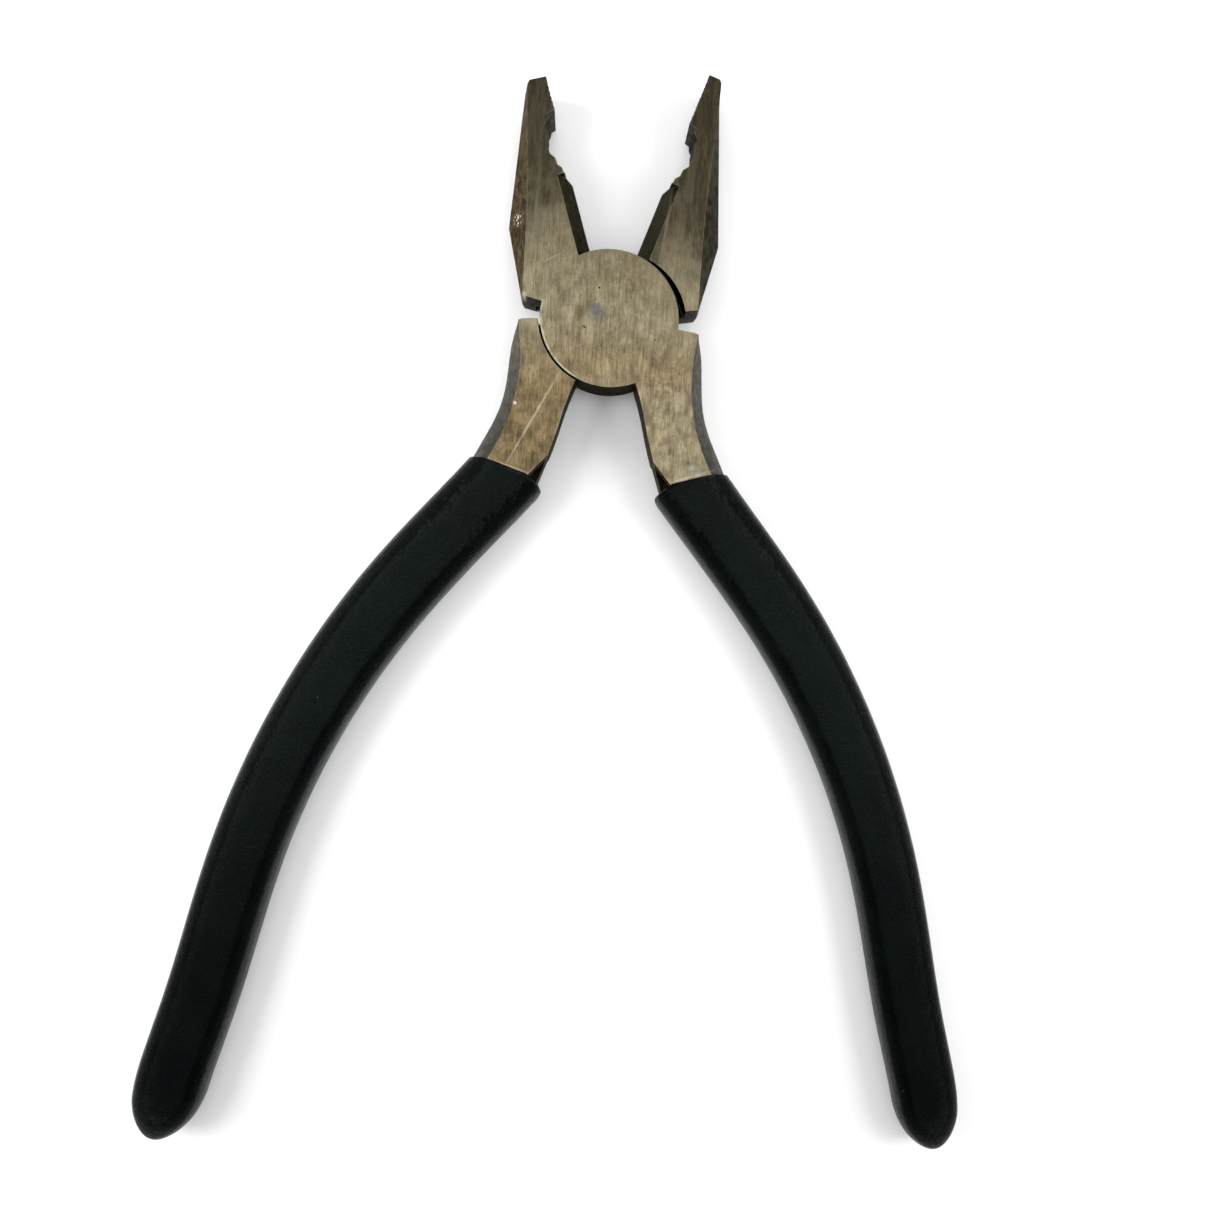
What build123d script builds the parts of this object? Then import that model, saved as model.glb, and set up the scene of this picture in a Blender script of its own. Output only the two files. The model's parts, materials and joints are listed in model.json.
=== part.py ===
from build123d import *
import os
from math import cos, radians, sin

# Lineman (combination) pliers: two congruent forgings lapped at a round joint, one rivet, two dipped grips.
# Frame: origin on the pivot axis at the underside of the head, +Y towards the jaws, +Z up through the head.
# Each half is drawn closed, jaw at +X and handle at -X, its disc in the lower layer, then turned to rest.
# Units are millimetres and degrees.

# ---- driving dimensions ----
head_thickness = 9.5
disc_radius = 11.95
rest_half_angle = 18.3          # each half is turned this far from closed
nose_reach_top = 42.85          # the upper half's nose is ground shorter
nose_reach_bottom = 46.3

lap_gap = 0.05                  # between the two discs
grip_face_x = 0.05              # half of the gap between the closed gripping faces
handle_recess_gap = 0.35        # round wall of the handle to the other disc
jaw_recess_radius = 12.1        # round wall of the jaw, struck from a centre moved outward
jaw_recess_shift = 1.245

mid_plane = head_thickness / 2
lap_half = lap_gap / 2

# ---- jaw: outline corners at the flat faces and at mid thickness ----
tip_x = 2.55
tip_corner = 0.5
waist_face = (9.15, 20.9)       # outer edge of the flat face
waist_mid = (12.75, 20.0)       # ridge that the two outer facets rise to
heel_face = (13.55, 7.3)
heel_mid = (13.8, 7.15)
heel_inner = (10.2, 5.35)
jaw_root_y = 3.0                # the jaw's blank starts here, inside the disc
jaw_root_inner_x = 7.2
ridge_tip_step = 0.1            # how far the ridge stands out at the tip
facet_land = 1.6                # height of the upright band on the outer ridge

cutter_depth = 2.45             # bevel from the cutting edge back to the flat face
cutter_land = 0.3               # blunt width of the cutting edge
cutter_top_y = 26.0

# pipe grip: depth behind the gripping face and place along the jaw, from the nose end down
hollow_teeth = [(0.0, 37.0), (1.2, 36.6), (1.0, 35.9), (2.2, 34.8), (1.95, 33.9)]
hollow_floor = [(1.95, 33.9), (2.55, 31.6), (2.5, 29.8)]
hollow_steps = [(2.5, 29.8), (1.8, 28.9), (1.9, 27.9), (1.1, 27.0), (1.15, 26.3), (0.0, 25.0)]
hollow_flare = 0.35             # the hollow is this much deeper at the flat faces
hollow_straight_half = 2.5      # half height of its straight middle part

serration_pitch = 0.9
serration_depth = 0.22
serration_margin = 0.8
serration_half_share = 0.42     # half of a groove's width, as a share of the pitch

# ---- handle: (y, inner x, outer edge of flat face x, outermost x, half thickness) ----
shank_stations = [
    (-2.0, -1.5, -14.7, -14.95, 4.75),
    (-7.0, -1.5, -13.9, -14.5, 4.75),
    (-11.0, -1.4, -11.95, -14.0, 4.75),
    (-15.4, -1.5, -10.5, -12.85, 4.72),
    (-20.4, -1.2, -9.65, -12.0, 4.55),
    (-25.0, -1.0, -9.6, -12.2, 4.3),
    (-30.0, -1.05, -10.2, -12.85, 4.05),
    (-36.0, -2.9, -12.4, -15.0, 3.8),
]
shoulder_disc_angle = 203.3     # where the shoulder line leaves the disc
shoulder_root = (1.5, 0.65)     # first corner of the shoulder, from that point
shoulder_disc_rise = 4.0        # height of the cut over the disc's middle
shoulder_bevel = [(-13.6, -5.9), (-14.3, -6.4), (-14.6, -7.3)]
scallop_top = (-0.8, -25.4)     # slanted cut across the inner corner above the grip
scallop_bottom = (-3.3, -31.4)
scallop_web = 4.2                # thickness left at the cut

# ---- grip and tang along one centre line ----
grip_start = (-6.75, -32.0)
grip_heading = 20.9             # outward lean of the first straight run
grip_lead_length = 19.3
grip_bow_radius = 141.0
grip_bow_angle = 26.5
grip_lower_length = 13.1        # second straight run, leaning inward
grip_toe_radius = 430.0
grip_toe_angle = 4.0
grip_run_in = 5.0               # the body starts this far above the mouth and is trimmed
grip_mouth = [(-17.0, -33.0), (-13.2, -31.0), (-10.8, -30.3), (-3.0, -30.25), (-0.3, -31.4), (1.5, -33.4)]
grip_inner_limit = -0.15        # the mouth's inner corner stops short of the other grip when closed
grip_widths = (13.7, 13.1, 13.0, 12.7, 12.35, 12.05, 11.85, 11.7, 11.4)
grip_edge_radius = 3.4
grip_end_length = 9.0
grip_end_steps = (0.0, 0.3, 0.52, 0.7, 0.84, 0.94, 0.99)
grip_end_point = 0.714          # power of the end's outline seen from above; a half would be an ellipse
grip_end_dome = 0.55            # the same, seen from the side
grip_end_round = 0.36           # corner radius in the end, as a share of the section
tang_width = 10.0
tang_taper = 2.0
tang_half_thickness = 3.6
tang_side_round = 1.6
tang_first_share = 0.02         # place of the first section along the centre line
tang_sections = 7
tang_stop = 5.0                 # vinyl beyond the tang's end, before the rounded end starts

# ---- rivet ----
rivet_radius = 3.5
rivet_head_radius = 5.2
rivet_head_depth = 1.3
rivet_running_gap = 0.05

cut_margin = 1.0                # cutting solids run this far past a face
far = 60.0                      # past everything around the joint
whole_z = head_thickness + 2 * cut_margin


def prism(points, low, high):
    """Upright prism on a closed polygon."""
    outline = Polyline(*points, close=True)
    return Pos(0, 0, low) * extrude(make_face(outline), high - low)


def jaw_outline(nose_reach, waist, heel, side_step):
    """Corners of the jaw at one height, inner side straight; side_step moves the outer tip corner out."""
    slope = (waist[0] - tip_x - side_step) / (waist[1] - nose_reach_bottom)
    tip_outer = waist[0] + slope * (nose_reach - waist[1])
    return [
        (grip_face_x, jaw_root_y),
        (grip_face_x, nose_reach),
        (tip_outer - tip_corner, nose_reach),
        (tip_outer, nose_reach - tip_corner),
        waist,
        heel,
        heel_inner,
        (jaw_root_inner_x, jaw_root_y),
    ]


def jaw_blank(nose_reach):
    """Jaw with its outer side ground to two facets above and two below an upright band."""
    face = jaw_outline(nose_reach, waist_face, heel_face, 0.0)
    ridge = jaw_outline(nose_reach, waist_mid, heel_mid, ridge_tip_step)
    low_band = mid_plane - facet_land / 2
    high_band = mid_plane + facet_land / 2
    levels = [(face, 0.0), (ridge, low_band), (ridge, high_band), (face, head_thickness)]
    sections = [make_face(Polyline(*[(x, y, z) for x, y in points], close=True)) for points, z in levels]
    return loft(sections, ruled=True)


def cutter_bevels():
    """Two wedges that leave the cutting edge at mid thickness."""
    edge_x = grip_face_x
    front_x = edge_x - cut_margin
    slope = cutter_depth / (mid_plane - cutter_land / 2)
    past_x = edge_x + cutter_depth + slope * cut_margin
    wedges = []
    for side in (-1, 1):
        edge_z = mid_plane + side * cutter_land / 2
        past_z = mid_plane + side * (mid_plane + cut_margin)
        corners = [(front_x, edge_z), (edge_x, edge_z), (past_x, past_z), (front_x, past_z)]
        wedge = make_face(Polyline(*[(x, 0, z) for x, z in corners], close=True))
        wedges.append(extrude(wedge, cutter_top_y, dir=(0, 1, 0)))
    return wedges


def hollow_section(extra, z):
    """Pipe grip at one height: two teeth, a round floor and two steps."""
    def place(points):
        return [(grip_face_x + depth + extra * (depth > 0), y, z) for depth, y in points]

    first_y = hollow_teeth[0][1]
    last_y = hollow_steps[-1][1]
    front_x = grip_face_x - cut_margin
    front = [(grip_face_x, last_y, z), (front_x, last_y, z), (front_x, first_y, z), (grip_face_x, first_y, z)]
    edges = [Polyline(*place(hollow_teeth)), ThreePointArc(*place(hollow_floor)),
             Polyline(*place(hollow_steps)), Polyline(*front)]
    return make_face(Wire([edge for line in edges for edge in line.edges()]))


def pipe_grip_cut():
    """The hollow, flared towards both flat faces."""
    levels = [(hollow_flare, -cut_margin), (0.0, mid_plane - hollow_straight_half),
              (0.0, mid_plane + hollow_straight_half), (hollow_flare, whole_z)]
    return loft([hollow_section(extra, z) for extra, z in levels], ruled=True)


def nose_serrations(nose_reach):
    """V grooves across the flat gripping face."""
    first = hollow_teeth[0][1] + serration_margin
    count = int((nose_reach - serration_margin - first) / serration_pitch)
    half_width = serration_pitch * serration_half_share
    spread = 1 + cut_margin / serration_depth
    grooves = []
    for i in range(count + 1):
        y = first + i * serration_pitch
        points = [(grip_face_x - cut_margin, y - half_width * spread),
                  (grip_face_x - cut_margin, y + half_width * spread),
                  (grip_face_x + serration_depth, y)]
        grooves.append(prism(points, -cut_margin, whole_z))
    return grooves


def jaw(nose_reach):
    """Finished jaw, still without the round recess."""
    cuts = cutter_bevels() + [pipe_grip_cut()] + nose_serrations(nose_reach)
    shape = jaw_blank(nose_reach)
    for cut in cuts:
        shape = shape - cut
    return shape


def shank_section(y, inner, flat, outer, half):
    """Section across the handle: flat top and bottom, upright inner side, bowed outer side."""
    low = mid_plane - half
    high = mid_plane + half
    edges = [
        Line((inner, y, low), (inner, y, high)),
        Line((inner, y, high), (flat, y, high)),
        ThreePointArc((flat, y, high), (outer, y, mid_plane), (flat, y, low)),
        Line((flat, y, low), (inner, y, low)),
    ]
    return make_face(Wire(edges))


def shank():
    """Handle from the disc to just inside the grip, its shoulder trimmed and the scallops cut."""
    slab = Pos(0, 0, mid_plane) * Box(2 * far, 2 * far, head_thickness)
    shape = loft([shank_section(*station) for station in shank_stations]) & slab
    disc_x = disc_radius * cos(radians(shoulder_disc_angle))
    disc_y = disc_radius * sin(radians(shoulder_disc_angle))
    bevel_end_y = shoulder_bevel[-1][1]
    above = [(0.0, disc_y + shoulder_disc_rise), (disc_x + shoulder_root[0], disc_y + shoulder_root[1]),
             *shoulder_bevel, (-far, bevel_end_y), (-far, far), (0.0, far)]
    shape = shape - prism(above, -cut_margin, whole_z)
    scallop = [scallop_top, scallop_bottom, (scallop_bottom[0], -far), (far, -far), (far, scallop_top[1])]
    shape = shape - prism(scallop, -cut_margin, mid_plane - scallop_web / 2)
    return shape - prism(scallop, mid_plane + scallop_web / 2, whole_z)


def grip_path():
    """Centre line of grip and tang: lean out, bow back in, lean in, and a slight flare at the toe."""
    heading = Vector(-sin(radians(grip_heading)), -cos(radians(grip_heading)), 0)
    start = Vector(grip_start[0], grip_start[1], mid_plane)
    lead = Line(start - heading * grip_run_in, start + heading * grip_lead_length)
    bow = JernArc(lead @ 1, lead % 1, grip_bow_radius, grip_bow_angle)
    lower = Line(bow @ 1, bow @ 1 + (bow % 1) * grip_lower_length)
    toe = JernArc(lower @ 1, lower % 1, grip_toe_radius, -grip_toe_angle)
    return Wire([lead, bow, lower, toe])


def path_section(path, share, width, height, radius):
    """Rounded section across the path."""
    along = path % share
    plane = Plane(origin=path @ share, x_dir=along.cross(Vector(0, 0, 1)), z_dir=along)
    return plane * RectangleRounded(width, height, radius)


def grip_body():
    """Outside of the dipped grip: a smooth body and a rounded, slightly pointed end."""
    path = grip_path()
    body_share = 1 - grip_end_length / path.length
    last = len(grip_widths) - 1
    body = [path_section(path, body_share * i / last, width, head_thickness, grip_edge_radius)
            for i, width in enumerate(grip_widths)]
    end = []
    for step in grip_end_steps:
        share = body_share + (1 - body_share) * step
        width = grip_widths[-1] * (1 - step ** 2) ** grip_end_point
        height = head_thickness * (1 - step ** 2) ** grip_end_dome
        end.append(path_section(path, share, width, height, grip_end_round * min(width, height)))
    return loft(body) + loft(end, ruled=True)


def tang():
    """Forged core inside the grip."""
    path = grip_path()
    last = 1 - (grip_end_length + tang_stop) / path.length
    sections = []
    for i in range(tang_sections):
        share = tang_first_share + (last - tang_first_share) * i / (tang_sections - 1)
        width = tang_width - tang_taper * share
        sections.append(path_section(path, share, width, 2 * tang_half_thickness, tang_side_round))
    return loft(sections)


def upper_layer(radius, shift):
    """Round recess that leaves only the lower layer."""
    return Pos(shift, 0, mid_plane - lap_half) * extrude(Circle(radius), whole_z)


def rivet_hole(gap):
    """Space for the rivet: shaft and countersunk head at the underside."""
    shaft = Pos(0, 0, -cut_margin) * extrude(Circle(rivet_radius + gap), whole_z)
    cone = Cone(rivet_head_radius + gap, rivet_radius + gap, rivet_head_depth + gap,
                align=(Align.CENTER, Align.CENTER, Align.MIN))
    return shaft + cone


def half(nose_reach, hole_gap):
    """One forging, closed position, disc in the lower layer."""
    working_jaw = jaw(nose_reach) - upper_layer(jaw_recess_radius, jaw_recess_shift)
    handle = shank() + tang()
    handle = handle - upper_layer(disc_radius + handle_recess_gap, 0)
    disc = extrude(Circle(disc_radius), mid_plane - lap_half)
    return working_jaw + disc + handle - rivet_hole(hole_gap)


def grip(steel):
    """Vinyl around the tang; its mouth is square to the tool and dips at both sides."""
    first_x = grip_mouth[0][0]
    last_x = grip_mouth[-1][0]
    above_mouth = prism([*grip_mouth, (last_x, 0.0), (first_x, 0.0)], -cut_margin, whole_z)
    inner_side = Pos(grip_inner_limit, 0, mid_plane) * Box(
        far, 4 * far, whole_z, align=(Align.MIN, Align.CENTER, Align.CENTER))
    return grip_body() - above_mouth - inner_side - steel


def rivet():
    """Rivet with both heads countersunk and flush."""
    shaft = extrude(Circle(rivet_radius), head_thickness)
    low_head = Cone(rivet_head_radius, rivet_radius, rivet_head_depth,
                    align=(Align.CENTER, Align.CENTER, Align.MIN))
    high_head = Pos(0, 0, head_thickness - rivet_head_depth) * Cone(
        rivet_radius, rivet_head_radius, rivet_head_depth, align=(Align.CENTER, Align.CENTER, Align.MIN))
    return shaft + low_head + high_head


def place_bottom(shape):
    """Closed to rest, jaw to the right."""
    return Rot(0, 0, -rest_half_angle) * shape


def place_top(shape):
    """Turned over about the tool's long axis, then closed to rest, jaw to the left."""
    return Rot(0, 0, rest_half_angle) * Pos(0, 0, head_thickness) * Rot(0, 180, 0) * shape


os.makedirs("parts", exist_ok=True)
bottom_steel = half(nose_reach_bottom, rivet_running_gap)
top_steel = half(nose_reach_top, 0.0)

export_step(place_bottom(bottom_steel), "parts/bottom_half.step")
export_step(place_top(top_steel), "parts/top_half.step")
export_step(place_bottom(grip(bottom_steel)), "parts/bottom_half_grip.step")
export_step(place_top(grip(top_steel)), "parts/top_half_grip.step")
export_step(rivet(), "parts/pivot_rivet.step")
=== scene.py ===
import json
from math import cos, pi, radians, sin

import bpy
import numpy as np
from mathutils import Matrix, Vector, noise
from mathutils.bvhtree import BVHTree


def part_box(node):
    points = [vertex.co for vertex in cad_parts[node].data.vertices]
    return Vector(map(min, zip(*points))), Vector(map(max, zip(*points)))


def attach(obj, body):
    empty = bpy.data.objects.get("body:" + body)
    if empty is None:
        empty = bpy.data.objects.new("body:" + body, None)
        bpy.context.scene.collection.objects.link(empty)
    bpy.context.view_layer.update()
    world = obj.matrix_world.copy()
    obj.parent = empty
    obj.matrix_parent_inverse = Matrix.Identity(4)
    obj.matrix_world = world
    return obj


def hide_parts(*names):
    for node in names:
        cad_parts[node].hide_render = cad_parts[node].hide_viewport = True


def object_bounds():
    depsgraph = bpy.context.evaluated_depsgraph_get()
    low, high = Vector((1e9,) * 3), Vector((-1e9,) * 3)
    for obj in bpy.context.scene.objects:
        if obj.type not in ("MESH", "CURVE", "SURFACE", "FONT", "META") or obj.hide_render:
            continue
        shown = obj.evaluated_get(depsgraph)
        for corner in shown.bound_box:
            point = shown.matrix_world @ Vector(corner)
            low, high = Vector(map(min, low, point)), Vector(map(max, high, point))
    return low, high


# Looks of a pair of combination pliers that lies on a pale table and is seen from just above.
# The two ground steel halves and the rivet are the CAD solids with materials of their own. The two
# dipped grips are rebuilt here as closed skins, measured on the CAD grips that they replace.
# Lengths are metres, unless a name or a comment says mm.

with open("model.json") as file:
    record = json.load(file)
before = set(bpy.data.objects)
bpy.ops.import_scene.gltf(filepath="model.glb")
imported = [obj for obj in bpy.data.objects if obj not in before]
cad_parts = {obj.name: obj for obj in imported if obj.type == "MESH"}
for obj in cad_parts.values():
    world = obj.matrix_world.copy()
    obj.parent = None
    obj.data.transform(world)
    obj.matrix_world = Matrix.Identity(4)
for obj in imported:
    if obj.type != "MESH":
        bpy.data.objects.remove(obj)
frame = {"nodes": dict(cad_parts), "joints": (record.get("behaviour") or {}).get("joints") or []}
cad_low, cad_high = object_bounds()

MM = 0.001

PIVOT = Vector(frame["joints"][0]["pos_m"])
CLOSING_ANGLE = radians(frame["joints"][0]["range_deg"][0])
HALF_ANGLE = -CLOSING_ANGLE / 2          # how far each half stands from closed

# ---- camera: place and aim relative to the pivot, in mm ----
CAMERA_PLACE_MM = Vector((-2.6, -46.3, 209.8))
CAMERA_AIM_MM = Vector((19.2, -41.4, 0.0))
CAMERA_ROLL = radians(3.53)
CAMERA_LENS = 34.384
CAMERA_SENSOR = 36.0
CAMERA_SHIFT = (-0.0738, -0.0340)

# ---- room and table ----
ROOM_WALLS = 0.34                        # radiance of the surroundings near the horizon
ROOM_CEILING = 0.05                      # and overhead
WALL_TOP = radians(22)                   # elevation where the walls begin to fade
CEILING_EDGE = radians(42)               # elevation where the ceiling's level is reached
TABLE_HALF_SIZE = 1.5
TABLE_GAP = 0.00004                      # between the table and the lowest point of the tool

# ---- steel ----
HEAD_MM = cad_high.z / MM                # height of the upper ground face
GROUND_DEPTHS_MM = (1.5, 1.3)            # ground faces end between these depths under the outermost
DISC_RADIUS_MM = 11.95
RIVET_RADIUS_MM = 5.2
SPOT_DEPTH_MM = 4.0                      # how far down the walls a mark of the upper side reaches
DISC_LOWER_SHADE_MM = (1.0, -9.0)                 # painted shade: the disc's color darkens between these heights on Y, against the overhead lamp's bright reflection on its lower part
SHANK_FROM_MM = (-9.0, -13.0)            # the shank's tone takes over from the disc's
JAW_FADE_MM = 13.0                       # length over which a jaw darkens
WEAR_AND_GLINT_RADIUS = 0.00034                      # radius within which an edge is painted bright, as wear and as a painted highlight
EDGE_ROUNDING = 0.00016                  # radius that softens the edges' shading

# ---- grips ----
GRIP_STATIONS = 250
STATION_CROWDING = 0.40                  # how much closer stations lie at both ends
GRIP_SIDES = 104
GRIP_SQUARENESS = 2.9                    # power of the section's outline; 2 would be an ellipse
GRIP_TIP_SQUARENESS = 2.1
TIP_LENGTH = 0.009
CENTRE_ROWS = 44                         # level rows that find the centre line
HOLLOW_STATIONS = 24
HOLLOW_FROM_MOUTH = 0.004
HOLLOW_FROM_TIP = 0.0145
# from the hollow to the rim: depth under the skin and how far forward of the mouth
THROAT = ((0.0030, -0.0012), (0.0016, 0.00018), (0.0010, 0.00036), (0.0007, 0.00042))
RIM_RADIUS = 0.00045
RIM_STEPS = 6
MOUTH_INSET = 0.0003                     # rays that look for the mouth run this far under the skin
LEAST_HALF_WIDTH = 0.0062                # the section is whole once both sides are wider than this
CLOSED_CLEARANCE = 0.00012               # to the plane between the grips when the tool is closed
VINYL_UNDULATION = 0.00012
VINYL_WRINKLE = 0.00013


# ------------------------------------------------------------------ camera, lights and floor

def make_camera():
    """Nearly straight down on the tool, turned a little, as a hand-held close-up."""
    place = PIVOT + CAMERA_PLACE_MM * MM
    aim = PIVOT + CAMERA_AIM_MM * MM
    back = (place - aim).normalized()
    up_hint = Vector((-sin(CAMERA_ROLL), cos(CAMERA_ROLL), 0.0))
    right = up_hint.cross(back).normalized()
    up = back.cross(right)
    data = bpy.data.cameras.new("camera")
    data.lens = CAMERA_LENS
    data.sensor_width = CAMERA_SENSOR
    data.sensor_fit = "HORIZONTAL"
    data.shift_x, data.shift_y = CAMERA_SHIFT
    data.clip_start = 0.01
    data.clip_end = 20.0
    camera = bpy.data.objects.new("camera", data)
    camera.matrix_world = Matrix.Translation(place) @ Matrix((right, up, back)).transposed().to_4x4()
    bpy.context.scene.collection.objects.link(camera)
    bpy.context.scene.camera = camera


def area_light(name, place, aim, size, radiance, in_gloss=True):
    """Rectangular light at place that faces aim; without in_gloss it isn't mirrored in steel or
    vinyl and lights the table and matt surfaces only."""
    data = bpy.data.lights.new(name, "AREA")
    data.shape = "RECTANGLE"
    data.size, data.size_y = size
    data.energy = radiance * pi * size[0] * size[1]
    light = bpy.data.objects.new(name, data)
    light.location = place
    light.rotation_mode = "QUATERNION"
    light.rotation_quaternion = (Vector(aim) - Vector(place)).to_track_quat("-Z", "Y")
    light.visible_camera = False
    light.visible_glossy = in_gloss
    bpy.context.scene.collection.objects.link(light)


def make_room():
    """Surroundings that are pale near the horizon and dim overhead."""
    world = bpy.data.worlds.new("room")
    world.use_nodes = True
    nodes = world.node_tree.nodes
    links = world.node_tree.links
    direction = nodes.new("ShaderNodeTexCoord")
    split = nodes.new("ShaderNodeSeparateXYZ")
    level = nodes.new("ShaderNodeMapRange")
    level.interpolation_type = "SMOOTHSTEP"
    level.inputs["From Min"].default_value = sin(WALL_TOP)
    level.inputs["From Max"].default_value = sin(CEILING_EDGE)
    level.inputs["To Min"].default_value = ROOM_WALLS
    level.inputs["To Max"].default_value = ROOM_CEILING
    links.new(direction.outputs["Generated"], split.inputs[0])
    links.new(split.outputs["Z"], level.inputs["Value"])
    links.new(level.outputs["Result"], nodes["Background"].inputs["Strength"])
    nodes["Background"].inputs["Color"].default_value = (1.0, 0.99, 0.97, 1.0)
    bpy.context.scene.world = world


def make_lights():
    """Soft lights overhead and round the table, and a faint glow that the steel walls mirror."""
    make_room()
    area_light("overhead", (0.0, 0.02, 0.60), (0, 0, 0), (0.36, 0.28), 1.9)
    area_light("fill", (0.0, -0.03, 1.60), (0, -0.03, 0), (2.4, 2.4), 0.46, in_gloss=False)
    area_light("left_side", (-0.30, -0.03, 0.22), (-0.02, -0.05, 0), (0.20, 0.30), 7.5, in_gloss=False)
    area_light("right_side", (0.30, -0.03, 0.22), (0.02, -0.05, 0), (0.20, 0.30), 6.5, in_gloss=False)
    area_light("head_side", (0.0, 0.30, 0.20), (0, 0.03, 0), (0.40, 0.20), 2.5, in_gloss=False)
    area_light("left_glow", (-0.42, 0.02, 0.10), (0, 0, 0), (0.12, 0.30), 1.2)
    area_light("right_glow", (0.42, 0.02, 0.10), (0, 0, 0), (0.12, 0.30), 0.95)
    bpy.context.scene.view_settings.view_transform = "Standard"
    bpy.context.scene.view_settings.look = "None"


def make_floor():
    """Pale table top just under the tool."""
    half = TABLE_HALF_SIZE
    height = cad_low.z - TABLE_GAP
    corners = [(-half, -half, height), (half, -half, height), (half, half, height), (-half, half, height)]
    mesh = bpy.data.meshes.new("table_top")
    mesh.from_pydata(corners, [], [(0, 1, 2, 3)])
    floor = bpy.data.objects.new("table_top", mesh)
    bpy.context.scene.collection.objects.link(floor)
    graph = Graph("pale_table")
    cloud = graph.noise(0.004, detail=2.0)
    color = graph.mix(cloud, (0.86, 0.86, 0.86), (0.90, 0.90, 0.90))
    graph.finish(color, roughness=0.7)
    mesh.materials.append(graph.material)


# ------------------------------------------------------------------ shader building

class Graph:
    """One material, built step by step; places are millimetres in the tool's own frame."""

    def __init__(self, name):
        self.material = bpy.data.materials.new(name)
        self.material.use_nodes = True
        self.tree = self.material.node_tree
        self.tree.nodes.clear()
        scaled = self.add("ShaderNodeVectorMath", operation="SCALE")
        scaled.inputs["Scale"].default_value = 1 / MM
        self.join(self.add("ShaderNodeTexCoord").outputs["Object"], scaled.inputs[0])
        self.place = scaled.outputs[0]

    def add(self, kind, **settings):
        node = self.tree.nodes.new(kind)
        for key, value in settings.items():
            setattr(node, key, value)
        return node

    def join(self, source, socket):
        """Links a socket, or sets a plain value."""
        if isinstance(source, bpy.types.NodeSocket):
            self.tree.links.new(source, socket)
        elif isinstance(source, (tuple, list)) and len(source) == 3 and socket.type == "RGBA":
            socket.default_value = (*source, 1.0)
        else:
            socket.default_value = source

    def math(self, operation, first, second=0.0, clamp=False):
        node = self.add("ShaderNodeMath", operation=operation, use_clamp=clamp)
        self.join(first, node.inputs[0])
        self.join(second, node.inputs[1])
        return node.outputs[0]

    def both(self, first, second):
        return self.math("MULTIPLY", first, second)

    def either(self, first, second):
        return self.math("MAXIMUM", first, second)

    def opposite(self, value):
        return self.math("SUBTRACT", 1.0, value)

    def split(self, vector):
        node = self.add("ShaderNodeSeparateXYZ")
        self.join(vector, node.inputs[0])
        return node.outputs

    def turned(self, angle, stretch=(1.0, 1.0, 1.0)):
        """The place, turned about Z so that grain along Y leans by angle, then stretched."""
        node = self.add("ShaderNodeMapping", vector_type="POINT")
        self.join(self.place, node.inputs["Vector"])
        node.inputs["Rotation"].default_value = (0.0, 0.0, -angle)
        node.inputs["Scale"].default_value = stretch
        return node.outputs[0]

    def noise(self, scale, detail=3.0, roughness=0.55, vector=None):
        """Cloudy noise from 0 to 1; scale is cells per mm."""
        node = self.add("ShaderNodeTexNoise")
        self.join(vector or self.place, node.inputs["Vector"])
        node.inputs["Scale"].default_value = scale
        node.inputs["Detail"].default_value = detail
        node.inputs["Roughness"].default_value = roughness
        return node.outputs["Fac"]

    def streaked(self, scale, detail, roughness, lean, stretch):
        """Noise drawn out along Y by 1 / stretch and leaning by an angle."""
        return self.noise(scale, detail, roughness, self.turned(lean, (1.0, stretch, 1.0)))

    def cells(self, scale):
        """Distance to the nearest of scattered points; scale is points per mm."""
        node = self.add("ShaderNodeTexVoronoi", feature="F1")
        self.join(self.place, node.inputs["Vector"])
        node.inputs["Scale"].default_value = scale
        return node.outputs["Distance"]

    def ramp(self, value, low, high, to_low=0.0, to_high=1.0):
        """Smooth step from to_low at low to to_high at high."""
        node = self.add("ShaderNodeMapRange", interpolation_type="SMOOTHSTEP")
        self.join(value, node.inputs["Value"])
        node.inputs["From Min"].default_value = low
        node.inputs["From Max"].default_value = high
        node.inputs["To Min"].default_value = to_low
        node.inputs["To Max"].default_value = to_high
        return node.outputs["Result"]

    def mix(self, share, first, second, blend="MIX"):
        node = self.add("ShaderNodeMix", data_type="RGBA", blend_type=blend)
        self.join(share, node.inputs[0])
        self.join(first, node.inputs[6])
        self.join(second, node.inputs[7])
        return node.outputs[2]

    def tone(self, colors, share):
        """A pair's lighter color where share is 1, its darker one where share is 0."""
        light, dark = colors
        return self.mix(share, dark, light)

    def shaded(self, base, share, factors):
        """The base, multiplied by factors where share is 1."""
        return self.mix(share, base, self.mix(1.0, base, factors, "MULTIPLY"))

    def stained(self, base, marks):
        """The base with marks laid over it in turn; each is a tint, a mask and its strength."""
        for tint, mask, strength in marks:
            if strength < 1.0:
                mask = self.math("MULTIPLY", mask, strength)
            base = self.mix(mask, base, tint)
        return base

    def spot(self, center, size, soft=0.5, angle=0.0):
        """1 inside an ellipse on the upper side of the tool and 0 outside; center and size are mm."""
        node = self.add("ShaderNodeMapping", vector_type="TEXTURE")
        self.join(self.place, node.inputs["Vector"])
        node.inputs["Location"].default_value = (*center, HEAD_MM)
        node.inputs["Rotation"].default_value = (0.0, 0.0, angle)
        node.inputs["Scale"].default_value = (size[0], size[1], SPOT_DEPTH_MM)
        length = self.add("ShaderNodeVectorMath", operation="LENGTH")
        self.join(node.outputs[0], length.inputs[0])
        return self.ramp(length.outputs["Value"], 1.0 - soft, 1.0 + soft, 1.0, 0.0)

    def stroke(self, start, end, width, soft=0.5):
        """A thin straight mark from start to end, in mm."""
        along = Vector(end) - Vector(start)
        middle = (Vector(end) + Vector(start)) / 2
        angle = along.to_2d().angle_signed(Vector((0.0, 1.0))) if along.length else 0.0
        return self.spot(middle, (width / 2, along.length / 2), soft, angle)

    def height(self):
        """How far up the jaws a place is, in mm above the pivot."""
        return self.split(self.place)[1]

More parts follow.
